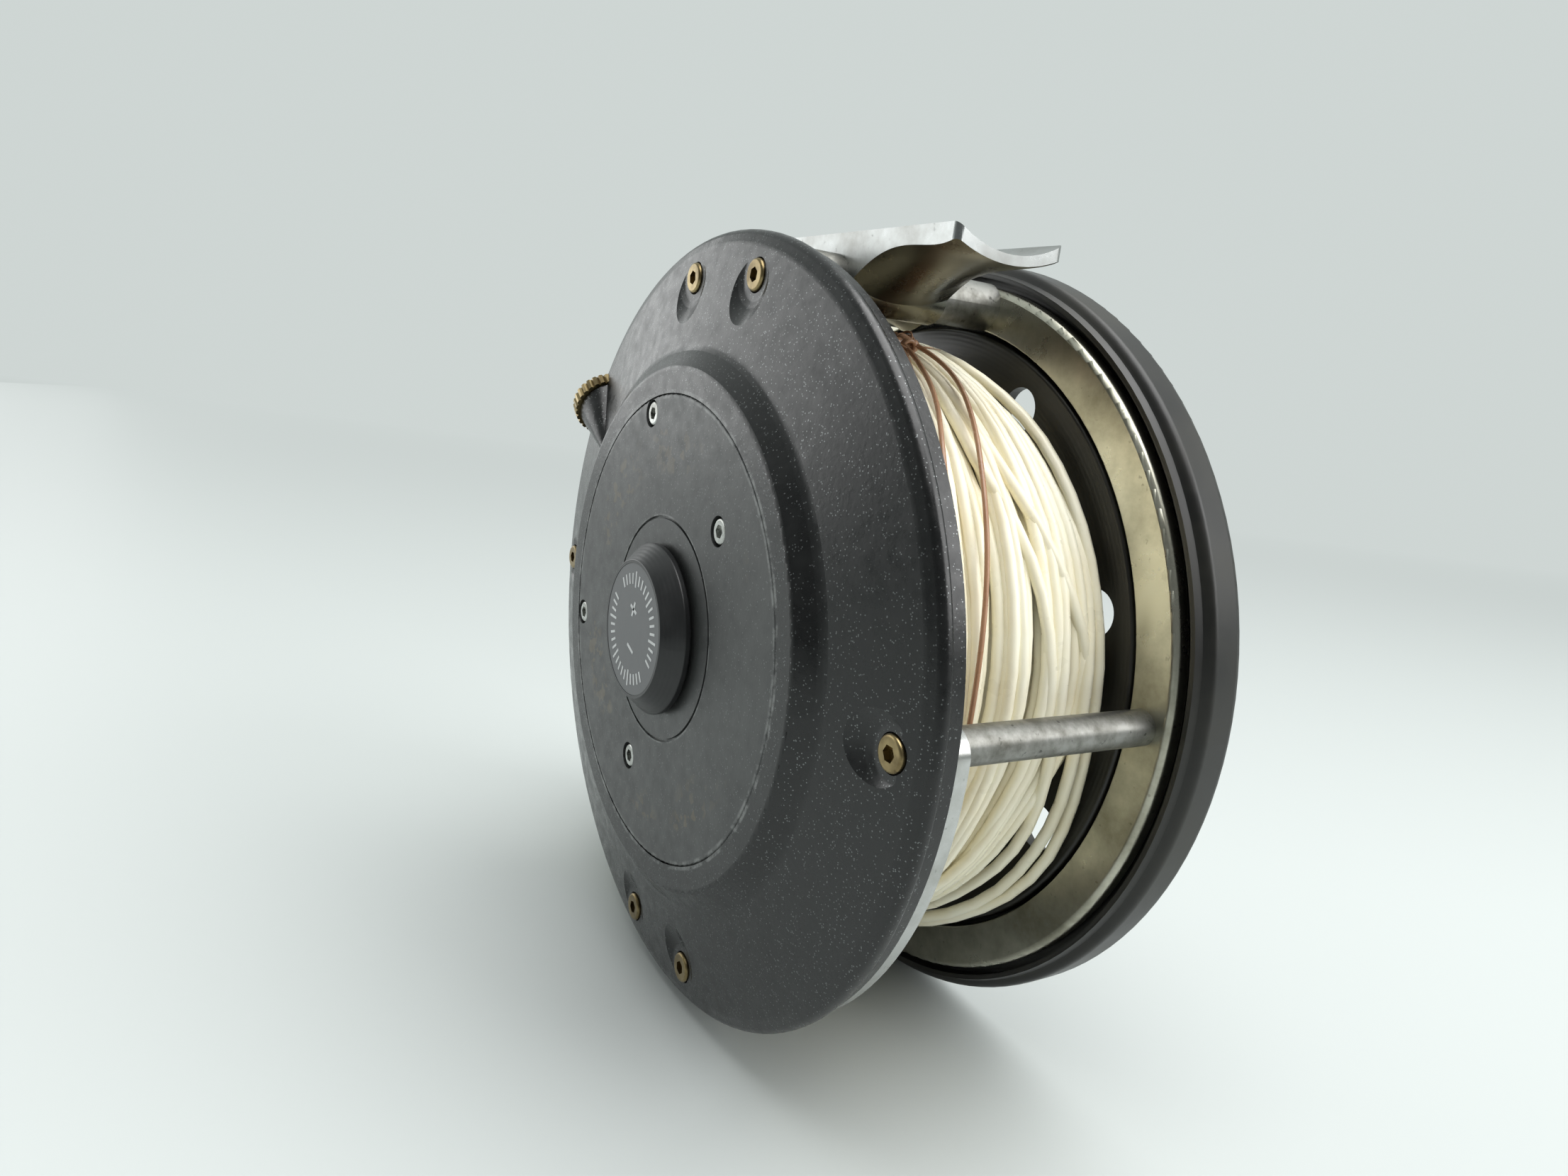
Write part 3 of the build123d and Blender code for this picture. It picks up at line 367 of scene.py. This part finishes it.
def add(tree, kind, settings=None, **inputs):
    """Adds a node. Its inputs are given by name, or as i0, i1 and so on by number."""
    made = tree.nodes.new(kind)
    for key, value in (settings or {}).items():
        setattr(made, key, value)
    for key, value in inputs.items():
        socket = int(key[1:]) if key[1:].isdigit() else key.replace("_", " ")
        put(tree, made.inputs[socket], value)
    return made


def start(name):
    """A new material with its tree, its shader and the object's own coordinates."""
    material = bpy.data.materials.new(name)
    material.use_nodes = True
    tree = material.node_tree
    shader = next(n for n in tree.nodes if n.type == "BSDF_PRINCIPLED")
    place = tree.nodes.new("ShaderNodeTexCoord").outputs["Object"]
    return material, tree, shader, place


def noise(tree, place, scale, detail=3.0, roughness=0.55):
    """A cloudy grey pattern, whose scale is in clouds to the metre."""
    made = add(tree, "ShaderNodeTexNoise", Vector=place, Scale=scale, Detail=detail,
               Roughness=roughness)
    return made.outputs[0]


def ramp(tree, factor, stops):
    """Turns a grey value into colours, or into other greys, between its stops."""
    made = add(tree, "ShaderNodeValToRGB", Fac=factor)
    band = made.color_ramp.elements
    while len(band) < len(stops):
        band.new(0.5)
    for element, (position, colour) in zip(band, stops):
        if isinstance(colour, (int, float)):
            colour = (colour, colour, colour)
        element.position = position
        element.color = (*colour, 1)
    return made.outputs[0]


def mix(tree, factor, first, second):
    """Goes from the first colour to the second as the factor goes from 0 to 1."""
    first, second = (colour if isinstance(colour, bpy.types.NodeSocket) else (*colour, 1)
                     for colour in (first, second))
    made = add(tree, "ShaderNodeMix", {"data_type": "RGBA"}, i0=factor, i6=first, i7=second)
    return made.outputs[2]


def maths(tree, kind, first, second=0.0, third=0.0):
    made = add(tree, "ShaderNodeMath", {"operation": kind}, i0=first, i1=second, i2=third)
    return made.outputs[0]


def vector_maths(tree, kind, first, **second):
    return add(tree, "ShaderNodeVectorMath", {"operation": kind}, i0=first, **second)


def bump(tree, shader, height, distance, strength):
    made = add(tree, "ShaderNodeBump", Height=height, Distance=distance, Strength=strength)
    tree.links.new(made.outputs[0], shader.inputs["Normal"])


def axis_radius(tree, place):
    """Distance from the spool's axis, for anything that was turned on a lathe."""
    centred = add(tree, "ShaderNodeMapping", Vector=place, Location=(0, 0, -AXIS_Z)).outputs[0]
    flat = vector_maths(tree, "MULTIPLY", centred, i1=(1, 0, 1)).outputs[0]
    return vector_maths(tree, "LENGTH", flat).outputs["Value"]


def rings(tree, place, pitch):
    """Waves round the spool's axis, one to every pitch of radius."""
    turns = maths(tree, "MULTIPLY", axis_radius(tree, place), 2 * math.pi / pitch)
    return maths(tree, "SINE", turns)


def wire(tree, shader, **sockets):
    for key, value in sockets.items():
        put(tree, shader.inputs[key.replace("_", " ")], value)


# %% [markdown]
# The back plate is cast alloy under satin black paint with fine metal flake. Flake is many
# tiny bright cells in a dark coat, so a cell pattern picks out a few of them, and a soft noise
# keeps the paint from looking like plastic.

# %% Speckled paint
FLAKES = 5200.0  # to the metre
FLAKE_REACH = 0.42
RUBBED_GREY = (0.20, 0.205, 0.20)
GILT = (0.13, 0.10, 0.055)


def ring_mask(tree, radius, inner, outer, soft):
    """1 between two radii about the spool's axis, 0 elsewhere, with soft edges."""
    span = outer + soft
    share = maths(tree, "DIVIDE", radius, span)
    stops = [((inner - soft) / span, 0.0), (inner / span, 1.0), (outer / span, 1.0), (1.0, 0.0)]
    return ramp(tree, share, stops)


def speckled(name, dark, light, flake, amount, gloss, rubbed=(), gilt=None):
    """Satin paint with flake, rubbed pale along some edges, with the ghost of worn gilt marks."""
    material, tree, shader, place = start(name)
    cloud = noise(tree, place, 60, 4)
    paint = mix(tree, ramp(tree, cloud, [(0.35, 0.0), (0.65, 1.0)]), dark, light)
    cells = add(tree, "ShaderNodeTexVoronoi", Vector=place, Scale=FLAKES)
    pick = add(tree, "ShaderNodeSeparateColor", Color=cells.outputs["Color"]).outputs[0]
    spark = maths(tree, "GREATER_THAN", pick, 1 - amount)
    near = maths(tree, "LESS_THAN", cells.outputs["Distance"], FLAKE_REACH)
    spark = maths(tree, "MULTIPLY", spark, near)
    tone = mix(tree, spark, paint, flake)
    radius = axis_radius(tree, place)
    scuff = ramp(tree, noise(tree, place, 420, 4, 0.7), [(0.44, 0.0), (0.6, 1.0)])
    for inner, outer in rubbed:
        worn = maths(tree, "MULTIPLY", ring_mask(tree, radius, inner, outer, 0.00015), scuff)
        tone = mix(tree, maths(tree, "MULTIPLY", worn, 0.75), tone, RUBBED_GREY)
    if gilt:
        strokes = ramp(tree, noise(tree, place, 640, 1), [(0.56, 0.0), (0.6, 1.0)])
        patches = ramp(tree, noise(tree, place, 55, 1), [(0.5, 0.0), (0.6, 1.0)])
        ghost = maths(tree, "MULTIPLY", strokes, patches)
        ghost = maths(tree, "MULTIPLY", ghost, ring_mask(tree, radius, *gilt, 0.0006))
        tone = mix(tree, maths(tree, "MULTIPLY", ghost, 0.5), tone, GILT)
    rough = ramp(tree, noise(tree, place, 500, 3), [(0.3, gloss - 0.06), (0.7, gloss + 0.1)])
    wire(tree, shader, Base_Color=tone, Roughness=rough, Metallic=spark)
    grain = maths(tree, "ADD", noise(tree, place, 1600, 2), maths(tree, "MULTIPLY", spark, 0.6))
    bump(tree, shader, grain, 0.00003, 0.5)
    return material


finishes = {
    "speckled_black_paint": speckled(
        "speckled_black_paint", (0.0035, 0.0037, 0.0038), (0.0065, 0.0068, 0.0068),
        (0.17, 0.178, 0.178), 0.09, 0.27, rubbed=[(0.0302, 0.0306)]),
    "cover_grey_paint": speckled(
        "cover_grey_paint", (0.030, 0.0315, 0.031), (0.046, 0.048, 0.047),
        (0.16, 0.165, 0.165), 0.06, 0.36, rubbed=[(0.0297, 0.0303), (0.0145, 0.0148)],
        gilt=(0.0205, 0.0255)),
}
print("paints", sorted(finishes))


# %% [markdown]
# Bare metal is one family: a base colour, a roughness that changes across the piece, stains that
# dull it, and tiny pits. Tarnish is a second, rougher and warmer colour that a large noise lets
# through, so the same helper makes bright chrome, old chrome, steel, brass and bronze. It can also
# paint shade on faces that turn downwards.

# %% Metals
def metal(name, clean, stain, gloss, stained=(0.45, 0.62), size=90, pits=0.4, under=None):
    """Bare metal. Its gloss goes from the clean roughness to the stained one. An under colour, if
    given, is painted shade on the faces that turn downwards.
    """
    material, tree, shader, place = start(name)
    cloud = noise(tree, place, size, 6, 0.65)
    dull = ramp(tree, cloud, [(stained[0], 0.0), (stained[1], 1.0)])
    speck = ramp(tree, noise(tree, place, 900, 2), [(0.66, 0.0), (0.72, 1.0)])
    tone = mix(tree, dull, clean, stain)
    tone = mix(tree, maths(tree, "MULTIPLY", speck, pits), tone, tuple(c * 0.35 for c in stain))
    # Painted shade: faces that turn downwards take the darker under colour, as if they were in
    # shadow.
    if under:
        normal = tree.nodes.new("ShaderNodeTexCoord").outputs["Normal"]
        upward = add(tree, "ShaderNodeSeparateXYZ", Vector=normal).outputs[2]
        downward = maths(tree, "MULTIPLY", upward, -1.0)
        tone = mix(tree, ramp(tree, downward, [(0.1, 0.0), (0.5, 1.0)]), tone, under)
    rough = ramp(tree, cloud, [(stained[0] - 0.1, gloss[0]), (stained[1] + 0.1, gloss[1])])
    wire(tree, shader, Base_Color=tone, Roughness=rough, Metallic=1.0)
    bump(tree, shader, noise(tree, place, 700, 3), 0.00002, 0.35)
    return material


for name, clean, stain, gloss, more in (
    ("bright_chrome", (0.52, 0.53, 0.52), (0.30, 0.30, 0.275), (0.16, 0.34),
     {"stained": (0.45, 0.75)}),
    ("tarnished_chrome", (0.50, 0.49, 0.41), (0.24, 0.232, 0.18), (0.24, 0.42),
     {"stained": (0.42, 0.66), "size": 70}),
    ("machined_brass", (0.31, 0.24, 0.12), (0.16, 0.12, 0.06), (0.25, 0.42),
     {"stained": (0.4, 0.65), "size": 300}),
    ("stainless_steel", (0.46, 0.47, 0.45), (0.26, 0.26, 0.24), (0.2, 0.34), {"size": 260}),
    ("spring_steel", (0.45, 0.46, 0.47), (0.25, 0.24, 0.22), (0.25, 0.4), {"size": 300}),
    ("bronze", (0.55, 0.37, 0.20), (0.35, 0.22, 0.12), (0.3, 0.45), {"size": 300}),
):
    finishes[name] = metal(name, clean, stain, gloss, **more)
pitted = metal("pitted_chrome", (0.29, 0.29, 0.27), (0.14, 0.137, 0.12), (0.34, 0.5),
               (0.40, 0.62), 240, pits=0.7)
# The foot's chrome has painted shade on its downward faces.
brushed_painted_shade = metal("brushed_chrome_painted_shade", (0.40, 0.415, 0.41), (0.26, 0.26, 0.245), (0.24, 0.36),
                (0.42, 0.7), 120, under=(0.15, 0.143, 0.11))
print("metals", len(finishes))


# %% [markdown]
# The dark pieces are anodised, enamelled or moulded. They are almost black, but never one flat
# value: a paler tone shows where they are worn, and turning marks run round some of them.

# %% Dark finishes
def dark(name, deep, worn, gloss, pitch, size):
    """A near black surface, with turning marks if it has a pitch."""
    material, tree, shader, place = start(name)
    cloud = noise(tree, place, size, 5, 0.6)
    tone = mix(tree, ramp(tree, cloud, [(0.38, 0.0), (0.7, 1.0)]), deep, worn)
    rough = ramp(tree, cloud, [(0.3, gloss[0]), (0.7, gloss[1])])
    wire(tree, shader, Base_Color=tone, Roughness=rough)
    height = noise(tree, place, 900, 3)
    if pitch:
        marks = maths(tree, "MULTIPLY", rings(tree, place, pitch), 0.6)
        height = maths(tree, "ADD", height, marks)
    bump(tree, shader, height, 0.00002, 0.4)
    return material


for name, deep, worn, gloss, pitch, size in (
    ("black_anodised", (0.010, 0.0105, 0.011), (0.018, 0.0185, 0.019), (0.3, 0.4), 0.0004, 200),
    ("spool_black", (0.006, 0.0058, 0.0045), (0.020, 0.019, 0.0135), (0.36, 0.5), 0.0006, 80),
    ("badge_grey", (0.105, 0.108, 0.112), (0.13, 0.133, 0.137), (0.4, 0.5), 0.0, 300),
    ("black_acetal", (0.02, 0.02, 0.02), (0.03, 0.03, 0.03), (0.4, 0.5), 0.0, 200),
    ("handle_black", (0.012, 0.012, 0.012), (0.025, 0.024, 0.023), (0.14, 0.28), 0.0, 120),
):
    finishes[name] = dark(name, deep, worn, gloss, pitch, size)
print("finishes so far", len(finishes))


# %% [markdown]
# Line, leader and backing are soft and plain, yet each has its own sheen. The fly line's coating
# is ivory with warmer patches, and the leader is copper-brown nylon. The backing is braided, so
# its threads show as fine ridges. The drag's friction washer is cork.

# %% Line finishes
def supple(name, pale, warm, gloss, size, ridge=0.0):
    """A soft cord or washer, with fine ridges if they are given a pitch."""
    material, tree, shader, place = start(name)
    cloud = noise(tree, place, size, 4, 0.6)
    tone = mix(tree, ramp(tree, cloud, [(0.35, 0.0), (0.68, 1.0)]), pale, warm)
    rough = ramp(tree, noise(tree, place, 400, 2), [(0.3, gloss - 0.05), (0.7, gloss + 0.08)])
    wire(tree, shader, Base_Color=tone, Roughness=rough)
    if ridge:
        bump(tree, shader, rings(tree, place, ridge), 0.0002, 1.0)
    else:
        bump(tree, shader, noise(tree, place, 1500, 2), 0.00002, 0.3)
    return material


for name, pale, warm, gloss, size, ridge in (
    ("ivory_line", (0.95, 0.91, 0.74), (0.90, 0.81, 0.58), 0.30, 60, 0.0),
    ("copper_monofilament", (0.42, 0.24, 0.14), (0.34, 0.18, 0.10), 0.22, 200, 0.0),
    ("backing_white", (0.60, 0.59, 0.55), (0.50, 0.49, 0.45), 0.7, 300, 0.0006),
    ("cork", (0.50, 0.34, 0.20), (0.22, 0.13, 0.07), 0.8, 900, 0.0),
):
    finishes[name] = supple(name, pale, warm, gloss, size, ridge)
print("finishes", len(finishes))

# %% [markdown]
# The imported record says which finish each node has, so one loop dresses the whole model.

# %% Dress every piece
for part in frame["record"]["subparts"]:
    node = frame["nodes"][part["node"]]
    node.data.materials.clear()
    node.data.materials.append(finishes[part["material_slot"]])
for name, finish in (("reel_foot", brushed_painted_shade), ("foot_pillars", pitted), ("cage_pillars", pitted)):
    frame["nodes"][name].data.materials[0] = finish
fly_line.data.materials.append(finishes["ivory_line"])
leader.data.materials.append(finishes["copper_monofilament"])
print("dressed", len(frame["nodes"]))


# %% [markdown]
# The leader is tied on with a wrapped knot. Close wraps and two slack loops are tori, each a
# circle spun round its own axis, and the cut ends of the nylon are thin tapering cones.

# %% The knot's wraps and ends
KNOT_ANGLE = 72
KNOT_R = 0.0414
KNOT_DEPTH = 0.0178
WRAPS = 6
WRAP_STEP = 0.00046
# Each slack loop: its side of the knot and its lean. Each end: its yaw, pitch and length.
LOOPS = ((-1, 0.5), (1, -0.3), (-1, 1.1))
ENDS = ((0.5, 1.35, 0.005), (1.4, 1.5, 0.0042), (2.4, 1.4, 0.0048), (-0.6, 1.55, 0.0055),
        (-2.2, 1.5, 0.004))
knot_at = on_spool(KNOT_ANGLE, KNOT_R, KNOT_DEPTH)
radial = (on_spool(KNOT_ANGLE, 1, 0) - on_spool(KNOT_ANGLE, 0, 0)).normalized()
along = Vector((0, 1, 0)).cross(radial)
knot_frame = Matrix((along, Vector((0, 1, 0)), radial)).transposed().to_4x4()
knot_frame.translation = knot_at


def torus(sheet, where, radius, tube):
    """Adds a ring about the local Z axis of a place: a small circle spun once round."""
    upright = Matrix.Translation((radius, 0, 0)) @ Matrix.Rotation(math.pi / 2, 4, "X")
    made = bmesh.ops.create_circle(sheet, cap_ends=False, segments=8, radius=tube,
                                   matrix=where @ upright)
    ring = list({edge for vert in made["verts"] for edge in vert.link_edges})
    bmesh.ops.spin(sheet, geom=made["verts"] + ring, cent=where.translation,
                   axis=where.to_3x3().col[2], angle=2 * math.pi, steps=22, use_merge=True)


def build(name, sheet, body, finish):
    """Turns a filled bmesh into an object that rides on a body."""
    bmesh.ops.remove_doubles(sheet, verts=sheet.verts, dist=1e-7)
    bmesh.ops.recalc_face_normals(sheet, faces=sheet.faces)
    for face in sheet.faces:
        face.smooth = True
    data = bpy.data.meshes.new(name)
    sheet.to_mesh(data)
    sheet.free()
    piece = bpy.data.objects.new(name, data)
    bpy.context.scene.collection.objects.link(piece)
    data.materials.append(finish)
    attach(piece, body)
    return piece


sheet = bmesh.new()
sideways = Matrix.Rotation(math.pi / 2, 4, "Y")
for number in range(WRAPS):
    tilt = sideways @ Matrix.Rotation(dice.uniform(-0.25, 0.25), 4, "X")
    along_knot = (number - (WRAPS - 1) / 2) * WRAP_STEP
    shift = Matrix.Translation((along_knot, dice.uniform(-1, 1) / 20000, 0))
    torus(sheet, knot_frame @ shift @ tilt, 0.00088 + dice.uniform(-5, 5) / 100000, 0.00026)
for side, lean in LOOPS:
    shift = Matrix.Translation((side * 0.0014, -0.0008 * side, 0.0001))
    torus(sheet, knot_frame @ shift @ Matrix.Rotation(lean, 4, "X"), 0.0013, 0.00013)
for yaw, pitch, reach in ENDS:
    lean = Matrix.Rotation(yaw, 4, "Z") @ Matrix.Rotation(pitch, 4, "Y")
    outward = lean @ Matrix.Translation((0, 0, reach / 2))
    bmesh.ops.create_cone(sheet, cap_ends=True, segments=6, radius1=0.00012, radius2=0.00004,
                          depth=reach, matrix=knot_frame @ outward)
knot = build("knot_wraps", sheet, "spool", finishes["copper_monofilament"])
print("knot faces", len(knot.data.polygons))

# %% [markdown]
# The latch's small spring shortens when the latch is pressed. A copy of its mesh, merged first,
# takes its place on the spool with a mesh of its own.

# %% The latch spring
node = frame["nodes"]["latch_spring"]
sheet = bmesh.new()
sheet.from_mesh(node.data)
spring = build("latch_spring_coil", sheet, "spool", finishes["spring_steel"])
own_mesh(spring)
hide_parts("latch_spring")
print("spring vertices", len(spring.data.vertices))

# %% [markdown]
# The badge on the drag knob carries a plain scale: a ring of strokes, long and short, with a
# plus and a minus for more and less drag. They stand a few hundredths of a millimetre proud.

# %% Badge scale
STROKES = 40
BLANKS = (14, 15, 34, 35)  # strokes left out, which makes the two gaps in the ring
SCALE_R = 0.0065
PROUD = 0.000015
SIGNS = ((0, 0.0026, 0.0021, 0.0004), (0, 0.0026, 0.0004, 0.0021),
         (0, -0.0026, 0.0021, 0.0004))
SIGN_TURN = 0.35
badge_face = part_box("knob_badge")[0][1]
mark_paint = dark("badge_mark", (0.55, 0.56, 0.56), (0.65, 0.66, 0.66), (0.4, 0.5), 0.0, 300)
sheet = bmesh.new()


def stroke(sheet, x, z, wide, tall, turn):
    """Adds one flat bar to the badge, at a place measured from its middle."""
    where = Matrix.Translation((x, badge_face - PROUD, AXIS_Z + z))
    shape = Matrix.Rotation(turn, 4, "Y") @ Matrix.Diagonal((wide, 0.00004, tall, 1))
    bmesh.ops.create_cube(sheet, size=1.0, matrix=where @ shape)


for number in range(STROKES):
    if number in BLANKS:
        continue
    turn = number * 2 * math.pi / STROKES
    tall = 0.0014 if number % 5 else 0.0021
    stroke(sheet, math.sin(turn) * SCALE_R, math.cos(turn) * SCALE_R, 0.00032, tall, turn)
for x, z, wide, tall in SIGNS:
    stroke(sheet, x, z, wide, tall, SIGN_TURN)
marks = build("badge_scale", sheet, "drag_knob", mark_paint)
for face in marks.data.polygons:
    face.use_smooth = False
print("badge strokes", len(marks.data.polygons) // 6)

# %% [markdown]
# A plain pale floor and large soft lights make a calm studio. Metal only looks like metal when
# it has something to reflect, so the lights are wide and stand where their reflections run along
# the rims and rings. Floor and sky are pale behind the reel, where they fade into one another,
# and darker behind the camera, where only the reel's dark faces mirror them.

# %% Floor, world and lights
BACKDROP = (0.62, 0.67, 0.655, 1)
NEAR_FLOOR = (0.52, 0.55, 0.54)
DIM_FLOOR = (0.22, 0.23, 0.23)
DIM_SKY = (0.16, 0.17, 0.17)
TO_BACKDROP = (-0.80, 0.58, 0)
TO_CAMERA = (0.80, -0.58, 0.10)
lowest = cad_box[0][2]
sheet = bmesh.new()
bmesh.ops.create_grid(sheet, x_segments=1, y_segments=1, size=40.0,
                      matrix=Matrix.Translation((0, 0, lowest)))
floor_mesh = bpy.data.meshes.new("floor")
sheet.to_mesh(floor_mesh)
sheet.free()
floor = bpy.data.objects.new("floor", floor_mesh)
bpy.context.scene.collection.objects.link(floor)
material, tree, shader, place = start("pale_floor")
wire(tree, shader, Roughness=0.55)
away = vector_maths(tree, "DOT_PRODUCT", place, i1=TO_BACKDROP).outputs["Value"]
haze = ramp(tree, away, [(0.06, 0.0), (0.8, 1.0)])
closer = maths(tree, "MULTIPLY", away, -1.0)
fade = ramp(tree, closer, [(0.28, NEAR_FLOOR), (0.55, DIM_FLOOR)])
tree.links.new(fade, shader.inputs["Base Color"])
glow = add(tree, "ShaderNodeEmission", Color=BACKDROP, Strength=1.0)
blend = add(tree, "ShaderNodeMixShader", i0=haze, i1=shader.outputs[0], i2=glow.outputs[0])
end = next(n for n in tree.nodes if n.type == "OUTPUT_MATERIAL")
tree.links.new(blend.outputs[0], end.inputs[0])
floor.data.materials.append(material)

world = bpy.data.worlds.new("studio")
world.use_nodes = True
sky = world.node_tree
look = sky.nodes.new("ShaderNodeTexCoord").outputs["Generated"]
facing = vector_maths(sky, "DOT_PRODUCT", look, i1=TO_CAMERA).outputs["Value"]
share = maths(sky, "MULTIPLY_ADD", facing, 0.5, 0.5)
shade = ramp(sky, share, [(0.42, BACKDROP[:3]), (0.86, DIM_SKY)])
sky.links.new(shade, sky.nodes["Background"].inputs[0])
sky.nodes["Background"].inputs[1].default_value = 1.0
bpy.context.scene.world = world


def softbox(name, position, target, size, power):
    data = bpy.data.lights.new(name, "AREA")
    data.shape = "RECTANGLE"
    data.size, data.size_y = size
    data.energy = power
    light = bpy.data.objects.new(name, data)
    light.location = position
    aim = Vector(target) - Vector(position)
    light.rotation_euler = aim.to_track_quat("-Z", "Y").to_euler()
    bpy.context.scene.collection.objects.link(light)


reel_middle = (0, 0, AXIS_Z)
softbox("overhead", (0.15, 0.05, 0.75), reel_middle, (0.9, 0.7), 9)
softbox("side", (0.60, 0.45, 0.40), reel_middle, (0.5, 0.6), 4)
softbox("plate_side", (-0.85, -0.50, 0.10), reel_middle, (0.9, 0.6), 3)
print("lights", len(bpy.data.lights))
